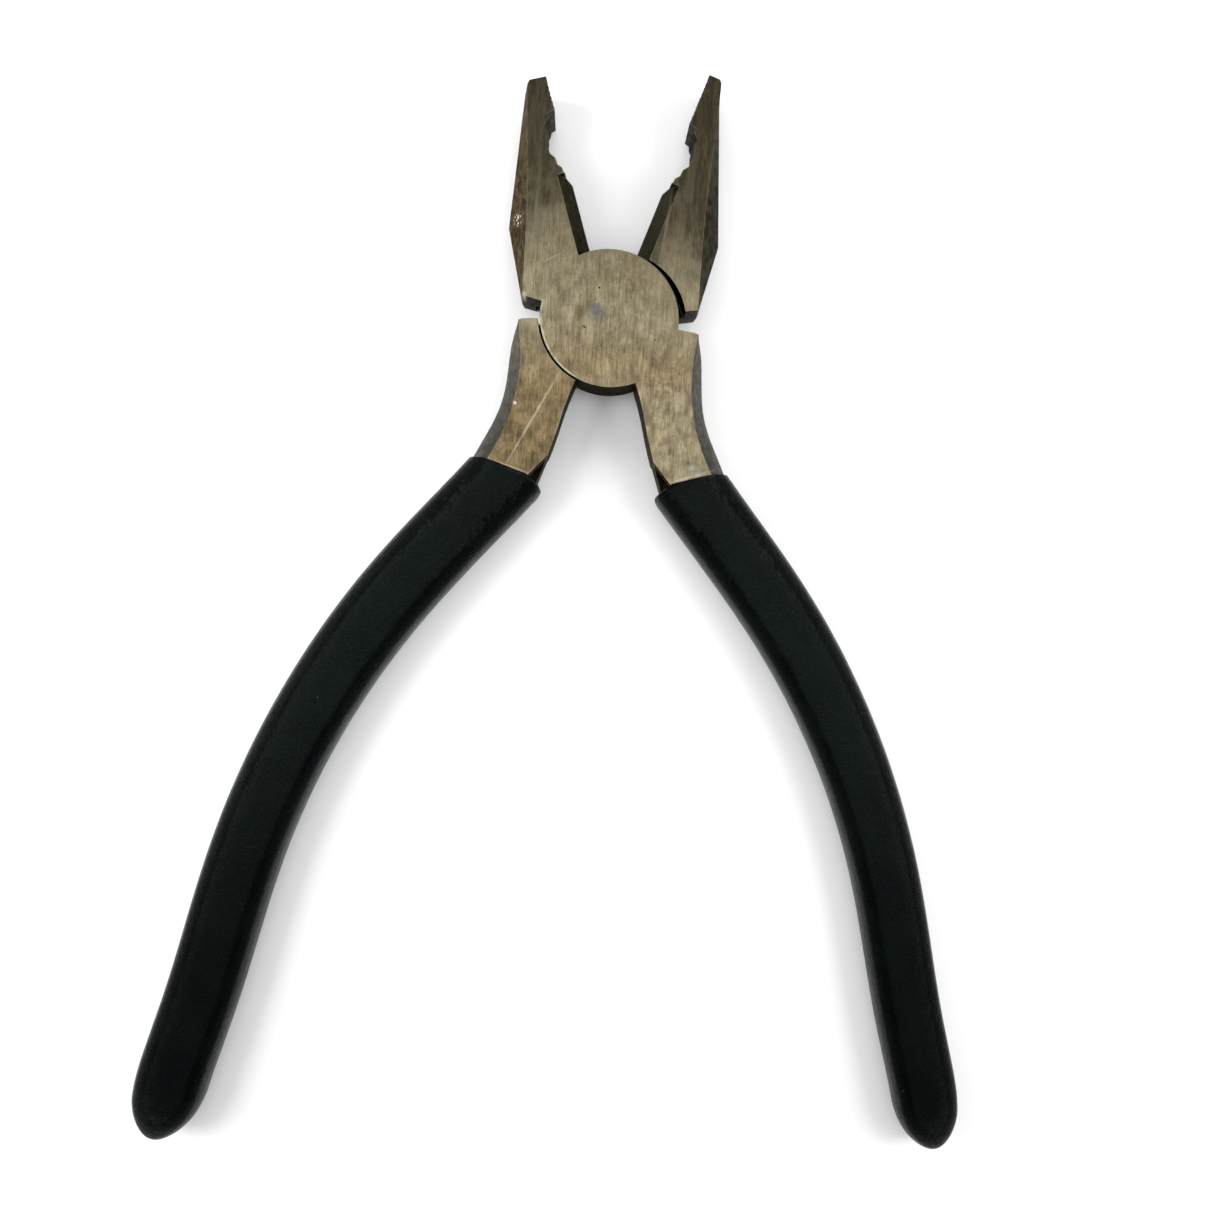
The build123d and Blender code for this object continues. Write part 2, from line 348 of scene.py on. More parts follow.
    def from_pivot(self):
        """Distance from the pivot's axis, in mm."""
        length = self.add("ShaderNodeVectorMath", operation="LENGTH")
        self.join(self.turned(0.0, (1.0, 1.0, 0.0)), length.inputs[0])
        return length.outputs["Value"]

    def broken(self):
        """Ragged patches that break up a mark."""
        return self.ramp(self.noise(1.2, detail=4.0), 0.35, 0.60)

    def beside(self, start, end, soft):
        """1 to the left of a line that runs down the tool from start to end, 0 to its right."""
        across = Vector((start[1] - end[1], end[0] - start[0], 0.0)).normalized()
        dot = self.add("ShaderNodeVectorMath", operation="DOT_PRODUCT")
        self.join(self.place, dot.inputs[0])
        dot.inputs[1].default_value = across
        edge = Vector((*start, 0.0)).dot(across)
        return self.ramp(dot.outputs["Value"], edge + soft, edge - soft)

    def own_normal(self, kind="True Normal"):
        """The face's flat normal, or its smooth one with kind Normal, in the tool's own frame."""
        node = self.add("ShaderNodeVectorTransform", vector_type="NORMAL",
                        convert_from="WORLD", convert_to="OBJECT")
        self.join(self.add("ShaderNodeNewGeometry").outputs[kind], node.inputs[0])
        return node.outputs[0]

    def shading_normal(self):
        return self.add("ShaderNodeNewGeometry").outputs["Normal"]

    def mix_vector(self, share, first, second):
        node = self.add("ShaderNodeMix", data_type="VECTOR")
        self.join(share, node.inputs[0])
        self.join(first, node.inputs[4])
        self.join(second, node.inputs[5])
        return node.outputs[1]

    def rounded_normal(self, radius):
        node = self.add("ShaderNodeBevel", samples=4)
        node.inputs["Radius"].default_value = radius
        return node.outputs["Normal"]

    def edges(self, radius, low, high):
        """1 along sharp edges, within radius, from how far a rounded normal leaves the face's own."""
        dot = self.add("ShaderNodeVectorMath", operation="DOT_PRODUCT")
        self.join(self.rounded_normal(radius), dot.inputs[0])
        self.join(self.add("ShaderNodeNewGeometry").outputs["True Normal"], dot.inputs[1])
        return self.ramp(self.opposite(dot.outputs["Value"]), low, high)

    def bump(self, height, distance, strength=1.0, normal=None):
        """Normal disturbed by a height from 0 to 1; distance is metres."""
        node = self.add("ShaderNodeBump")
        node.inputs["Strength"].default_value = strength
        node.inputs["Distance"].default_value = distance
        self.join(height, node.inputs["Height"])
        if normal is not None:
            self.join(normal, node.inputs["Normal"])
        return node.outputs["Normal"]

    def finish(self, color, roughness, normal=None, metallic=0.0, **plain):
        """Principled surface; plain holds values for the shader's other sockets."""
        shader = self.add("ShaderNodeBsdfPrincipled")
        output = self.add("ShaderNodeOutputMaterial")
        self.join(color, shader.inputs["Base Color"])
        self.join(roughness, shader.inputs["Roughness"])
        shader.inputs["Metallic"].default_value = metallic
        for key, value in plain.items():
            self.join(value, shader.inputs[key.replace("_", " ")])
        if normal is not None:
            self.join(normal, shader.inputs["Normal"])
        self.join(shader.outputs[0], output.inputs["Surface"])


# ------------------------------------------------------------------ materials

# linear colors, the lighter and the darker patches of each surface
DISC_STEEL = ((0.49, 0.425, 0.275), (0.38, 0.325, 0.205))
RIGHT_SHANK_STEEL = ((0.47, 0.400, 0.255), (0.34, 0.280, 0.170))
LEFT_SHANK_STEEL = ((0.33, 0.248, 0.135), (0.20, 0.148, 0.076))
JAW_STEEL = ((0.215, 0.183, 0.118), (0.120, 0.101, 0.062))
LEFT_OUTER_JAW = ((0.155, 0.117, 0.068), (0.040, 0.031, 0.020))
RIGHT_OUTER_JAW = ((0.070, 0.064, 0.046), (0.020, 0.018, 0.014))
OUTER_SHANK_WALL = ((0.170, 0.165, 0.150), (0.105, 0.100, 0.090))
# painted highlight: the left jaw's inner walls lighter than the right jaw's, where the left cutter's
# sloping bevel catches more light
LIT_LEFT_JAW_INSIDE = ((0.058, 0.053, 0.038), (0.016, 0.014, 0.010))
RIGHT_JAW_INSIDE = ((0.034, 0.031, 0.021), (0.008, 0.007, 0.005))
HEEL_STEEL = ((0.105, 0.107, 0.112), (0.030, 0.031, 0.033))
# dark oxidised hollows, and near-black painted shade on the walls round the lower half of the disc
OXIDE_AND_SHADE = ((0.018, 0.014, 0.010), (0.007, 0.006, 0.005))

# linear colors of wear and marks, and of painted highlights and painted shade
# bright edges and lines: wear, and painted highlights where edges, creases and the grip's mouth catch the
# light
WEAR_AND_GLINT_COLOR = (0.62, 0.55, 0.40)
BURR_METAL_AND_GLINT = (0.80, 0.72, 0.52)
FRESH_CHIP = (0.85, 0.76, 0.58)
SHANK_CHIP = (0.9, 0.8, 0.6)
CORNER_CHIP = (0.75, 0.68, 0.52)
SILVER = (0.62, 0.60, 0.55)
BLUE_GREY = (0.24, 0.24, 0.27)
BROWN = (0.20, 0.145, 0.065)
DISC_STAIN = (0.30, 0.225, 0.12)
SHANK_STAIN = (0.22, 0.19, 0.12)
TIP_STAIN = (0.22, 0.16, 0.07)
# painted shade on the right cutter's facet, which slopes away from the light
CUTTER_FACET_SHADE = (0.10, 0.092, 0.063)
PIT = (0.045, 0.038, 0.026)
DISC_LOWER_SHADE = (0.85, 0.78, 0.70)             # painted shade: what the disc's color is multiplied by towards its lower part, darker and warmer
STEEL_GLANCE = (0.55, 0.53, 0.48, 1.0)   # tint of the steel's gloss at glancing angles

# linear colors of the vinyl
VINYL = ((0.0009, 0.0017, 0.0016), (0.0004, 0.0008, 0.0008))
VINYL_GRAIN = (0.0016, 0.0028, 0.0026)
VINYL_SCUFF = (0.030, 0.031, 0.031)
DUST = (0.20, 0.20, 0.19)
VINYL_GLOSS = (0.78, 1.0, 0.97, 1.0)


class Steel(Graph):
    """Material of one half: ground and brushed faces, forged and oxidised walls, edges painted bright as
    wear and as a painted highlight, and painted shade on the walls under the disc.
    side is 1 for the half with the left jaw; lean is how far its brush lines tilt from Y."""

    def __init__(self, name, side, lean):
        super().__init__(name)
        self.side = side
        _, self.y, self.z = self.split(self.place)
        self.radius = self.from_pivot()
        self.away_from_rivet = self.ramp(self.radius, RIVET_RADIUS_MM + 0.4, RIVET_RADIUS_MM + 0.8)
        self.normal = self.split(self.own_normal())
        self.upright = self.math("ABSOLUTE", self.normal[2])
        self.flat = self.ramp(self.upright, 0.93, 0.99)
        self.ground = self.both(self.flat, self.near_faces())
        self.brush = self.streaked(5.0, 3.0, 0.75, lean, 0.05)
        self.fine_brush = self.streaked(7.5, 2.0, 0.8, lean * 0.6, 0.05)
        self.streaks = self.streaked(1.1, 4.0, 0.7, lean, 0.16)
        self.patches = self.streaked(0.42, 6.0, 0.74, lean, 0.75)
        self.cloud = self.noise(0.13, detail=3.0, roughness=0.6)
        self.speckle = self.noise(2.2, detail=5.0, roughness=0.75)
        self.scale = self.noise(1.4, 6.0, 0.7, self.turned(0.0, (1.0, 0.5, 0.6)))

    def near_faces(self):
        """1 close under the two outermost planes of the head, where the faces are ground."""
        deep, shallow = GROUND_DEPTHS_MM
        upper = self.ramp(self.z, HEAD_MM - deep, HEAD_MM - shallow)
        return self.either(upper, self.ramp(self.z, deep, shallow))

    def ground_face(self, shank_steel, jaw_from):
        """Disc, shank, and a jaw that darkens from jaw_from mm above the pivot, all brushed."""
        mottled = self.math("ADD", self.both(self.patches, 0.6), self.both(self.cloud, 0.4))
        mottled = self.ramp(mottled, 0.34, 0.64)
        # painted shade: the disc darker and warmer towards its lower part, against the overhead lamp's
        # bright reflection there
        disc = self.shaded(self.tone(DISC_STEEL, mottled), self.ramp(self.y, *DISC_LOWER_SHADE_MM), DISC_LOWER_SHADE)
        face = self.mix(self.ramp(self.y, *SHANK_FROM_MM), disc, self.tone(shank_steel, mottled))
        toward_nose = self.math("ADD", self.y, self.ramp(self.cloud, 0.3, 0.7, -5.0, 5.0))
        jaw = self.tone(JAW_STEEL, self.ramp(self.streaks, 0.38, 0.62))
        face = self.mix(self.ramp(toward_nose, jaw_from, jaw_from + JAW_FADE_MM, 0.0, 0.94), face, jaw)
        face = self.shaded(face, self.ramp(self.brush, 0.46, 0.64), (0.83, 0.82, 0.80))
        face = self.shaded(face, self.ramp(self.fine_brush, 0.50, 0.66), (1.22, 1.22, 1.20))
        return self.shaded(face, self.ramp(self.speckle, 0.50, 0.66), (0.86, 0.85, 0.84))

    def forged_wall(self, outer_jaw, inside):
        """Scaly sides: outer jaw, outer shank, inner sides, heel, and oxidised hollows; the walls round the
        lower half of the disc are near-black, painted shade.
        """
        scaly = self.ramp(self.scale, 0.36, 0.62)
        oxide_and_shade = self.tone(OXIDE_AND_SHADE, scaly)
        inward = self.math("MULTIPLY", self.both(self.normal[0], self.y), self.side)
        below = self.ramp(self.y, 1.0, -1.0)
        wall = self.mix(below, self.tone(outer_jaw, scaly), self.tone(OUTER_SHANK_WALL, scaly))
        wall = self.mix(self.ramp(inward, -0.02, 0.02), wall, self.tone(inside, scaly))
        wall = self.mix(self.ramp(self.normal[1], -0.55, -0.8), wall, self.tone(HEEL_STEEL, scaly))
        wall = self.mix(self.flat, wall, oxide_and_shade)
        # painted shade: the walls round the disc below the pivot are painted near-black, where shade falls
        # beneath the disc's rim
        disc_rim_shade = self.ramp(self.radius, DISC_RADIUS_MM + 0.9, DISC_RADIUS_MM + 0.6)
        return self.mix(self.both(disc_rim_shade, below), wall, oxide_and_shade)

    def edge_wear_and_glint(self):
        """Bright edges, broken up and stronger round the ground faces: wear, with a painted highlight where
        a rounded edge would catch the light.
        """
        edge = self.both(self.edges(WEAR_AND_GLINT_RADIUS, 0.02, 0.10), self.away_from_rivet)
        patchy = self.ramp(self.noise(0.7, detail=4.0, roughness=0.7), 0.40, 0.60, 0.25, 0.85)
        return self.both(self.both(edge, patchy), self.ramp(self.upright, 0.2, 0.6, 0.25, 1.0))

    def pits(self):
        """A few tiny pits in the ground faces."""
        pits = self.ramp(self.cells(0.8), 0.05, 0.11, 1.0, 0.0)
        return self.both(self.both(pits, self.ramp(self.patches, 0.56, 0.60)), self.ground)

    def gloss_roughness(self, glint_and_wear_mask):
        roughness = self.ramp(self.patches, 0.35, 0.65, 0.44, 0.33)
        roughness = self.math("ADD", roughness, self.ramp(self.brush, 0.3, 0.7, -0.05, 0.07))
        roughness = self.math("ADD", roughness, self.ramp(self.ground, 0.0, 1.0, 0.14, 0.0))
        return self.math("SUBTRACT", roughness, self.math("MULTIPLY", glint_and_wear_mask, 0.10))

    def relief(self, pits):
        """Softened edges, forging scale on the walls, brush lines and pits on the faces."""
        softened = self.rounded_normal(EDGE_ROUNDING)
        normal = self.mix_vector(self.away_from_rivet, self.shading_normal(), softened)
        normal = self.bump(self.both(self.scale, self.opposite(self.ground)), 0.00016, 0.8, normal)
        normal = self.bump(self.both(self.brush, self.ground), 0.000022, 0.8, normal)
        normal = self.bump(self.both(self.speckle, self.ground), 0.000018, 0.8, normal)
        return self.bump(self.opposite(pits), 0.00005, 0.8, normal)

    def dress(self, shank_steel, outer_jaw, inside, jaw_from, marks):
        """Puts the material together from its colors and marks."""
        # painted highlight along the edges, together with their wear
        glint_and_wear_mask = self.edge_wear_and_glint()
        pits = self.pits()
        wall = self.forged_wall(outer_jaw, inside)
        color = self.mix(self.ground, wall, self.ground_face(shank_steel, jaw_from))
        color = self.stained(color, marks(self))
        color = self.stained(color, ((WEAR_AND_GLINT_COLOR, glint_and_wear_mask, 1.0), (PIT, pits, 1.0)))
        roughness = self.gloss_roughness(glint_and_wear_mask)
        self.finish(color, roughness, self.relief(pits), metallic=1.0, Specular_Tint=STEEL_GLANCE)


def top_marks(graph):
    """Smudges, stains, chips, scratches, a bright thrown-up rim with a painted highlight, a faint painted
    highlight along a crease down the left jaw, and a painted highlight at the grip's mouth, on the half
    with the left jaw.
    """
    broken = graph.broken()
    smudge = graph.both(graph.spot((-2.45, 0.99), (1.35, 1.75), 0.6), broken)
    stain = graph.both(graph.spot((4.3, 8.3), (4.5, 3.0), 0.8), broken)
    root_stain = graph.both(graph.spot((9.4, -11.7), (2.6, 3.4), 0.8), broken)
    silver = graph.both(graph.spot((16.2, -25.2), (1.6, 0.9), 0.7), broken)
    flakes = graph.ramp(graph.cells(1.7), 0.32, 0.42, 1.0, 0.0)
    return (
        (BLUE_GREY, smudge, 0.75),
        (BROWN, graph.spot((-5.27, 0.58), (0.7, 1.1), 0.7), 0.7),
        (DISC_STAIN, stain, 0.5),
        (BROWN, root_stain, 0.45),
        (PIT, graph.stroke((-4.55, -1.70), (-4.00, -2.05), 0.22), 1.0),
        (PIT, graph.spot((-2.09, 5.06), (0.16, 0.16), 0.4), 1.0),
        (WEAR_AND_GLINT_COLOR, graph.stroke((-11.9, 8.65), (-8.95, 10.45), 0.25), 0.5),
        (SILVER, silver, 0.6),
        (FRESH_CHIP, graph.both(graph.spot((-16.9, 16.1), (0.8, 1.2), 0.5), flakes), 1.0),
        (CORNER_CHIP, graph.spot((-14.8, 2.8), (0.4, 0.5), 0.6), 1.0),
        # painted highlight: a bright line on the steel at the grip's mouth, where its edge catches the
        # light
        (WEAR_AND_GLINT_COLOR, graph.stroke((12.1, -27.6), (19.2, -25.0), 0.45), 0.7),
        # faint painted highlight along a crease down the left jaw
        (WEAR_AND_GLINT_COLOR, graph.stroke((-13.5, 27.8), (-14.2, 3.6), 0.5, 0.9), 0.18),
        # thrown-up rim on the disc: fresh metal with a painted highlight
        (BURR_METAL_AND_GLINT, burr_and_glint(graph), 1.0),
    )


def burr_and_glint(graph):
    """The bright thrown-up rim along the lower left of the disc's upper edge: its fresh metal, with a
    painted highlight where that edge catches the light.
    """
    x, y, z = graph.split(graph.place)
    radius = graph.from_pivot()
    rim = graph.ramp(radius, DISC_RADIUS_MM - 0.42, DISC_RADIUS_MM - 0.25)
    rim = graph.both(rim, graph.ramp(radius, DISC_RADIUS_MM + 0.2, DISC_RADIUS_MM + 0.1))
    rim = graph.both(rim, graph.ramp(z, HEAD_MM - 0.3, HEAD_MM - 0.1))
    lower_left = graph.both(graph.ramp(x, -4.5, -6.5), graph.ramp(y, 3.0, 1.0))
    patchy = graph.ramp(graph.noise(0.9), 0.36, 0.50, 0.25, 0.95)
    return graph.both(graph.both(rim, lower_left), patchy)


def bottom_marks(graph):
    """A painted highlight along a crease down the shank, a chip, stains, painted shade and a painted
    highlight on the cutter's facet, and a painted highlight at the grip's mouth, on the half with the right
    jaw.
    """
    stain = graph.both(graph.spot((-14.9, -6.0), (2.5, 2.6), 0.8), graph.broken())
    facet_top = (9.4, 22.6)
    facet_foot = (8.0, 11.0)
    above_foot = graph.ramp(graph.height(), 8.0, 9.0)
    return (
        # painted highlight along a crease down the shank's face
        (WEAR_AND_GLINT_COLOR, graph.stroke((-8.6, -11.3), (-16.0, -26.2), 0.34, 0.6), 0.65),
        (BROWN, graph.spot((-8.0, -14.0), (1.2, 5.0), 0.8, radians(-28)), 0.4),
        (SHANK_CHIP, graph.spot((-15.23, -15.82), (0.30, 0.30), 0.4), 1.0),
        (SHANK_STAIN, stain, 0.5),
        # painted highlight: a bright line on the steel at the grip's mouth, where its edge catches the
        # light
        (WEAR_AND_GLINT_COLOR, graph.stroke((-19.1, -25.8), (-12.3, -27.6), 0.5), 0.7),
        # painted shade: the cutter's facet darker beside its crease
        (CUTTER_FACET_SHADE, graph.both(graph.beside(facet_top, facet_foot, 0.25), above_foot), 0.55),
        # painted highlight along the facet's crease
        (WEAR_AND_GLINT_COLOR, graph.stroke(facet_top, facet_foot, 0.35, 0.7), 0.3),
        (TIP_STAIN, graph.spot((13.3, 37.6), (0.9, 1.2), 0.8), 0.5),
    )


def dipped_vinyl(name):
    """Very dark, slightly green dipped vinyl: leathery grain, scuffs and a few specks of dust."""
    graph = Graph(name)
    cloud = graph.noise(0.12, detail=4.0)
    grain = graph.noise(3.4, detail=4.0, roughness=0.7)
    leather = graph.noise(1.9, detail=5.0, roughness=0.75)
    creases = graph.noise(0.55, detail=3.0, roughness=0.6)
    feathers = graph.streaked(0.9, 6.0, 0.75, radians(25), 0.5)
    near_mouth = graph.ramp(graph.height(), -52.0, -34.0, 0.15, 1.0)

    scuffed = graph.ramp(graph.noise(0.5, detail=5.0), 0.45, 0.65)
    dusty = graph.ramp(leather, 0.55, 0.58)
    color = graph.stained(graph.tone(VINYL, graph.ramp(cloud, 0.35, 0.65)), (
        (VINYL_GRAIN, graph.ramp(grain, 0.48, 0.72, 0.0, 0.6), 1.0),
        (VINYL_SCUFF, graph.both(graph.edges(0.0009, 0.01, 0.10), scuffed), 0.6),
        (DUST, graph.both(graph.ramp(graph.cells(0.45), 0.020, 0.040, 1.0, 0.0), dusty), 1.0),
    ))
    roughness = graph.ramp(cloud, 0.3, 0.7, 0.24, 0.32)
    roughness = graph.math("ADD", roughness, graph.ramp(grain, 0.3, 0.7, -0.06, 0.08))
    normal = graph.bump(creases, 0.00026, 0.8)
    normal = graph.bump(graph.both(feathers, near_mouth), 0.00055, 0.9, normal)
    normal = graph.bump(leather, 0.00017, 1.0, normal)
    normal = graph.bump(grain, 0.00007, 0.9, normal)
    graph.finish(color, roughness, normal, Specular_Tint=VINYL_GLOSS,
                 Specular_IOR_Level=vinyl_sheen(graph, feathers, near_mouth))
    return graph.material


def vinyl_sheen(graph, feathers, near_mouth):
    """Level of gloss: a dull sheen on the flats with ragged sides; lowered on the shoulders and towards the
    tips as painted shade, for the darker surroundings they would mirror.
    """
    upright = graph.math("ABSOLUTE", graph.split(graph.own_normal("Normal"))[2])
    ragged = graph.both(graph.math("SUBTRACT", feathers, 0.5), near_mouth)
    upright = graph.math("ADD", upright, graph.math("MULTIPLY", ragged, 0.22))
    # painted shade: less gloss on the shoulders
    shoulder = graph.both(graph.ramp(upright, 0.995, 0.93), graph.ramp(upright, 0.45, 0.72))
    flats = graph.ramp(shoulder, 0.0, 1.0, 0.34, 0.08)
    sides = graph.ramp(upright, 0.3, 0.5, 0.82, 1.0)
    # painted shade: less gloss towards the tips
    toward_tip = graph.ramp(graph.height(), -62.0, -122.0, 1.0, 0.45)
    return graph.both(graph.both(flats, sides), toward_tip)


def paint(node, material):
    """Gives a CAD node its material in every slot."""
    for slot in frame["nodes"][node].material_slots:
        slot.material = material


# ------------------------------------------------------------------ grips

def flat_normal(tangent):
    """Sideways direction in the plane of the tool."""
    return Vector((-tangent.y, tangent.x, 0.0))


class GripShape:
    """Centre line and widths of a CAD grip, found by casting rays at it.
    side is 1 for the right-hand grip and -1 for the left-hand one."""

    def __init__(self, node, side):
        mesh = frame["nodes"][node].data
        self.tree = BVHTree.FromPolygons([v.co for v in mesh.vertices], [p.vertices for p in mesh.polygons])
        self.low, self.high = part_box(node)
        self.middle_z = (self.low.z + self.high.z) / 2
        self.side = side
        self.tool_axis = Vector((sin(HALF_ANGLE) * -side, cos(HALF_ANGLE), 0.0))
        self.mouth_y = max(v.co.dot(self.tool_axis) for v in mesh.vertices)
        self.points = self.find_centres()
        self.measure()

    def hit(self, start, direction, reach=0.06):
        """Where a ray meets the CAD grip, or None."""
        return self.tree.ray_cast(start, direction, reach)[0]

    def find_centres(self):
        """Points down the middle at mid height: first by level rows, then square to the line."""
        top = self.high.y - 0.0095
        bottom = self.low.y + 0.0015
        beyond = 0.01
        points = []
        for i in range(CENTRE_ROWS):
            y = top + (bottom - top) * i / (CENTRE_ROWS - 1)
            left = self.hit(Vector((self.low.x - beyond, y, self.middle_z)), Vector((1, 0, 0)), 1.0)
            right = self.hit(Vector((self.high.x + beyond, y, self.middle_z)), Vector((-1, 0, 0)), 1.0)
            points.append((left + right) / 2)
        for _ in range(3):
            points = [self.centred(points, i) for i in range(CENTRE_ROWS)]
        return points

    def centred(self, points, i):
        """Point i, moved halfway between the two sides along the line's own normal."""
        before = points[max(i - 1, 0)]
        after = points[min(i + 1, len(points) - 1)]
        across = flat_normal((after - before).normalized())
        reach = 0.012
        first = self.hit(points[i] + across * reach, -across)
        second = self.hit(points[i] - across * reach, across)
        if first is None or second is None:
            return points[i]
        return (first + second) / 2

    def measure(self):
        """Arc lengths along the centre line, from 4 mm above the mouth's plane to the tip."""
        head = (self.points[0] - self.points[3]).normalized()
        tail = (self.points[-1] - self.points[-4]).normalized()
        to_mouth = (self.mouth_y + 0.004 - self.points[0].dot(self.tool_axis)) / head.dot(self.tool_axis)
        tip = self.hit(self.points[-1] + tail * 0.03, -tail)
        table = [self.points[0] + head * to_mouth, *self.points, tip]
        lengths = [0.0]
        for a, b in zip(table, table[1:]):
            lengths.append(lengths[-1] + (b - a).length)
        self.table = np.array([tuple(p) for p in table])
        self.lengths = np.array(lengths)
        self.total = lengths[-1]

    def centre(self, s):
        """Smoothed point on the centre line at arc length s; the line runs straight on past its ends."""
        window = 0.0045
        shares = np.linspace(-1, 1, 9)
        near = np.clip(s + shares * window, 0, self.total)
        missing = (s + shares * window) - near
        points = np.stack([np.interp(near, self.lengths, self.table[:, k]) for k in range(3)], axis=1)
        if s + window > self.total:
            tail = self.table[-1] - self.table[-4]
            points += np.outer(np.maximum(missing, 0), tail / np.linalg.norm(tail))
        if s - window < 0:
            head = self.table[0] - self.table[3]
            points += np.outer(np.maximum(-missing, 0), head / np.linalg.norm(head))
        weights = 1 - np.abs(shares) * 0.8
        return Vector((points * weights[:, None]).sum(0) / weights.sum())

    def tangent(self, s):
        step = 0.001
        return (self.centre(s + step) - self.centre(s - step)).normalized()

    def four_ways(self, s):
        """Directions of the four sides at s: left of travel, right, up, down."""
        across = flat_normal(self.tangent(s))
        return across, -across, Vector((0, 0, 1)), Vector((0, 0, -1))

    def half_sizes(self, s):
        """Distances from the centre to the four outer sides at s."""
        centre = self.centre(s)
        found = []
        for direction in self.four_ways(s):
            hit = self.hit(centre + direction * 0.02, -direction)
            found.append(0.0 if hit is None else (hit - centre).dot(direction))
        return found

    def inner_sizes(self, s):
        """Distances from the centre to the four sides of the hollow that holds the steel."""
        centre = self.centre(s)
        found = []
        for direction in self.four_ways(s):
            hit = self.hit(centre, direction)
            found.append(0.0 if hit is None else (hit - centre).length)
        return found

    def first_whole(self):
        """Arc length where the whole section is below the mouth."""
        s = 0.004
        while s < 0.03:
            centre = self.centre(s)
            across = flat_normal(self.tangent(s))
            hits = [self.hit(centre + d * 0.012, -d) for d in (across, -across)]
            widths = [0 if h is None else (h - centre).length for h in hits]
            if min(widths) > LEAST_HALF_WIDTH:
                return s + 0.001
            s += 0.0005
        return s


def outline(count, squareness, aspect=1.3):
    """Evenly spaced directions round a rounded section, as (across, up) from -1 to 1."""
    angles = np.linspace(0, 2 * pi, 2048, endpoint=False)
    across = np.sign(np.cos(angles)) * np.abs(np.cos(angles)) ** (2 / squareness)
    up = np.sign(np.sin(angles)) * np.abs(np.sin(angles)) ** (2 / squareness)
    steps = np.hypot(np.diff(across * aspect, append=across[0] * aspect), np.diff(up, append=up[0]))
    length = np.concatenate([[0], np.cumsum(steps)[:-1]])
    wanted = np.linspace(0, steps.sum(), count, endpoint=False)
    return np.interp(wanted, length, across), np.interp(wanted, length, up)


def smooth_columns(values, rounds):
    """Averages each row of a table with its neighbours along the grip, ends kept."""
    values = values.copy()
    for _ in range(rounds):
        values[1:-1] = (values[:-2] + 2 * values[1:-1] + values[2:]) / 4
    return values


def station_shares():
    """Shares of the grip's length where rings lie, close together at the rim and at the tip."""
    share = np.linspace(0, 1, GRIP_STATIONS)
    eased = share - STATION_CROWDING * np.sin(2 * pi * share) / (2 * pi)
    return eased / eased[-1]


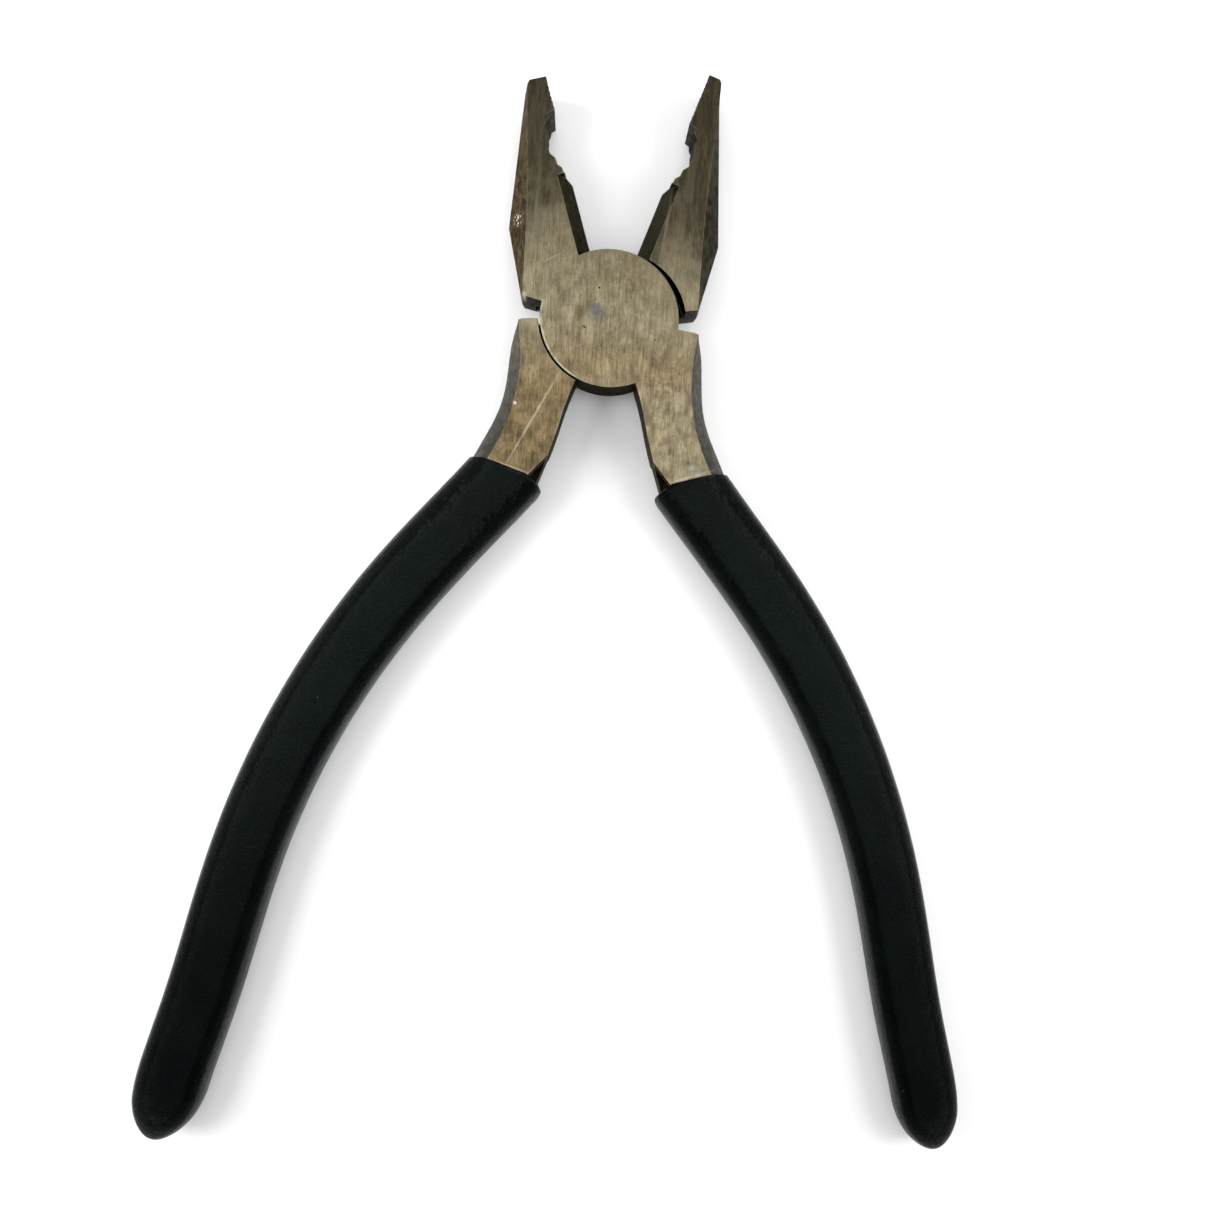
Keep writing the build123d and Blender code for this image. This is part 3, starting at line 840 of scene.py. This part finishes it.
class GripSkin:
    """One closed skin for a grip: the hollow round the steel, the throat, the rolled rim, the outside."""

    def __init__(self, shape):
        self.shape = shape
        self.across, self.up = outline(GRIP_SIDES, GRIP_SQUARENESS)
        self.tip_across, self.tip_up = outline(GRIP_SIDES, GRIP_TIP_SQUARENESS)
        self.first_whole = shape.first_whole()
        self.starts = self.mouth_starts()
        self.shares = station_shares()
        sizes = [shape.half_sizes(max(self.first_whole, s * shape.total)) for s in self.shares]
        self.sizes = smooth_columns(np.array(sizes), 6)

    def mouth_starts(self):
        """Arc length of the mouth for each line along the grip, found on the CAD solid's own mouth."""
        shape = self.shape
        size = shape.half_sizes(self.first_whole)
        centre = shape.centre(self.first_whole)
        tangent = shape.tangent(self.first_whole)
        sideways = flat_normal(tangent)
        starts = np.full(GRIP_SIDES, np.nan)
        for j, (across, up) in enumerate(zip(self.across, self.up)):
            half_width = (size[0] if across > 0 else size[1]) - MOUTH_INSET
            half_height = (size[2] if up > 0 else size[3]) - MOUTH_INSET
            place = centre + sideways * (across * half_width) + Vector((0, 0, up * half_height))
            hit = shape.hit(place - tangent * 0.03, tangent)
            if hit is not None:
                starts[j] = self.first_whole + (hit - centre).dot(tangent)
        known = ~np.isnan(starts)
        index = np.arange(GRIP_SIDES)
        starts = np.interp(index, index[known], starts[known], period=GRIP_SIDES)
        for _ in range(3):
            starts = (np.roll(starts, 1) + 2 * starts + np.roll(starts, -1)) / 4
        return starts + RIM_RADIUS

    def outer_size(self, s):
        return [np.interp(s, self.shares * self.shape.total, self.sizes[:, k]) for k in range(4)]

    def ring(self, arc_lengths, inward=0.0, size=None):
        """Points of one ring, each at its own arc length, inward under the outside,
        or with the four half sizes given by size."""
        shape = self.shape
        points = []
        for j, s in enumerate(arc_lengths):
            left, right, top, bottom = size or self.outer_size(s)
            toward_tip = min(max((s - (shape.total - TIP_LENGTH)) / TIP_LENGTH, 0.0), 1.0)
            across = self.across[j] * (1 - toward_tip) + self.tip_across[j] * toward_tip
            up = self.up[j] * (1 - toward_tip) + self.tip_up[j] * toward_tip
            half_width = max((left if across > 0 else right) - inward, 0.0)
            half_height = max((top if up > 0 else bottom) - inward, 0.0)
            point = shape.centre(s) + flat_normal(shape.tangent(s)) * (across * half_width)
            points.append(point + Vector((0, 0, up * half_height)))
        return points

    def hollow_rings(self):
        """From the deep end of the hollow up to the mouth."""
        first = self.first_whole + HOLLOW_FROM_MOUTH
        last = self.shape.total - HOLLOW_FROM_TIP
        rings = []
        for share in np.linspace(1, 0, HOLLOW_STATIONS):
            s = first + (last - first) * share
            rings.append(self.ring([s] * GRIP_SIDES, size=self.shape.inner_sizes(s)))
        return rings

    def mouth_rings(self):
        """The throat, then the rim rolled over to the outside."""
        rings = [self.ring(self.starts - forward, inward=depth) for depth, forward in THROAT]
        for k in range(RIM_STEPS, -1, -1):
            turn = pi / 2 * k / RIM_STEPS
            inward = RIM_RADIUS * (1 - cos(turn))
            rings.append(self.ring(self.starts - RIM_RADIUS * sin(turn), inward=inward))
        return rings

    def outer_rings(self):
        """Down the outside to just short of the tip."""
        whole = self.shape.total - self.starts
        return [self.ring(self.starts + whole * share) for share in self.shares[1:-1]]

    def build(self):
        """Vertices and faces of the skin."""
        rings = self.hollow_rings() + self.mouth_rings()
        first_outside = len(rings) - 1
        rings += self.outer_rings()
        vertices = [point for ring in rings for point in ring]
        roughen(vertices, first_outside * GRIP_SIDES, self.shape)
        hollow_tip = len(vertices)
        outer_tip = hollow_tip + 1
        vertices.append(self.shape.centre(self.shape.total - HOLLOW_FROM_TIP + 0.001))
        vertices.append(Vector(self.shape.table[-1]))
        keep_apart(vertices, self.shape)
        return vertices, skin_faces(len(rings), hollow_tip, outer_tip)


def skin_faces(ring_count, hollow_tip, outer_tip):
    """Quads between neighbouring rings and a fan of triangles at each end."""
    faces = []
    for i in range(ring_count - 1):
        for j in range(GRIP_SIDES):
            a = i * GRIP_SIDES + j
            b = i * GRIP_SIDES + (j + 1) % GRIP_SIDES
            faces.append((a, b, b + GRIP_SIDES, a + GRIP_SIDES))
    last = (ring_count - 1) * GRIP_SIDES
    for j in range(GRIP_SIDES):
        after = (j + 1) % GRIP_SIDES
        faces.append((hollow_tip, after, j))
        faces.append((outer_tip, last + j, last + after))
    return faces


def roughen(vertices, first, shape):
    """Slow unevenness of the dipped skin, and fine wrinkles near the mouth, both cut inwards."""
    for index in range(first, len(vertices)):
        point = vertices[index]
        in_mm = point / MM
        wave = noise.noise(in_mm * 0.11) + 0.5 * noise.noise(in_mm * 0.31 + Vector((7, 3, 1)))
        depth = VINYL_UNDULATION * (0.5 + 0.5 * wave)
        height = abs(point.z - shape.middle_z) / (shape.high.z - shape.middle_z)
        distance = shape.mouth_y - point.dot(shape.tool_axis)
        near_mouth = max(0.0, 1 - abs(distance - 0.010) / 0.012)
        shoulder = max(0.0, 1 - abs(height - 0.90) / 0.12)
        ripple = noise.noise(Vector((in_mm.x * 0.5, in_mm.y * 1.6, in_mm.z)))
        depth += VINYL_WRINKLE * near_mouth * shoulder * (1 + ripple)
        inward = Vector((0, 0, shape.middle_z - point.z))
        if inward.length > 0:
            vertices[index] = point + inward.normalized() * depth * min(height * 1.2, 1.0)


def keep_apart(vertices, shape):
    """Holds the skin clear of the other grip when the tool is closed."""
    outward = Vector((shape.tool_axis.y, -shape.tool_axis.x, 0.0)) * shape.side
    for index, point in enumerate(vertices):
        distance = point.dot(outward)
        if distance < CLOSED_CLEARANCE:
            vertices[index] = point + outward * (CLOSED_CLEARANCE - distance)


def build_grip(node, name, side, body, material):
    """Puts a dipped grip in the place of its CAD node."""
    vertices, faces = GripSkin(GripShape(node, side)).build()
    mesh = bpy.data.meshes.new(name)
    mesh.from_pydata([tuple(v) for v in vertices], [], faces)
    mesh.validate()
    mesh.shade_smooth()
    mesh.materials.append(material)
    piece = bpy.data.objects.new(name, mesh)
    bpy.context.scene.collection.objects.link(piece)
    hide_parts(node)
    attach(piece, body)


# ------------------------------------------------------------------ the scene

make_camera()
make_lights()
make_floor()

steel_top = Steel("ground_steel_top", 1, radians(8))
steel_top.dress(RIGHT_SHANK_STEEL, LEFT_OUTER_JAW, LIT_LEFT_JAW_INSIDE, 11.0, top_marks)
steel_bottom = Steel("ground_steel_bottom", -1, radians(-10))
steel_bottom.dress(LEFT_SHANK_STEEL, RIGHT_OUTER_JAW, RIGHT_JAW_INSIDE, 3.5, bottom_marks)
paint("top_half", steel_top.material)
paint("pivot_rivet", steel_top.material)
paint("bottom_half", steel_bottom.material)

vinyl = dipped_vinyl("dipped_vinyl")
build_grip("top_half_grip", "top_half_dipped_grip", 1, "top_body", vinyl)
build_grip("bottom_half_grip", "bottom_half_dipped_grip", -1, "bottom_body", vinyl)
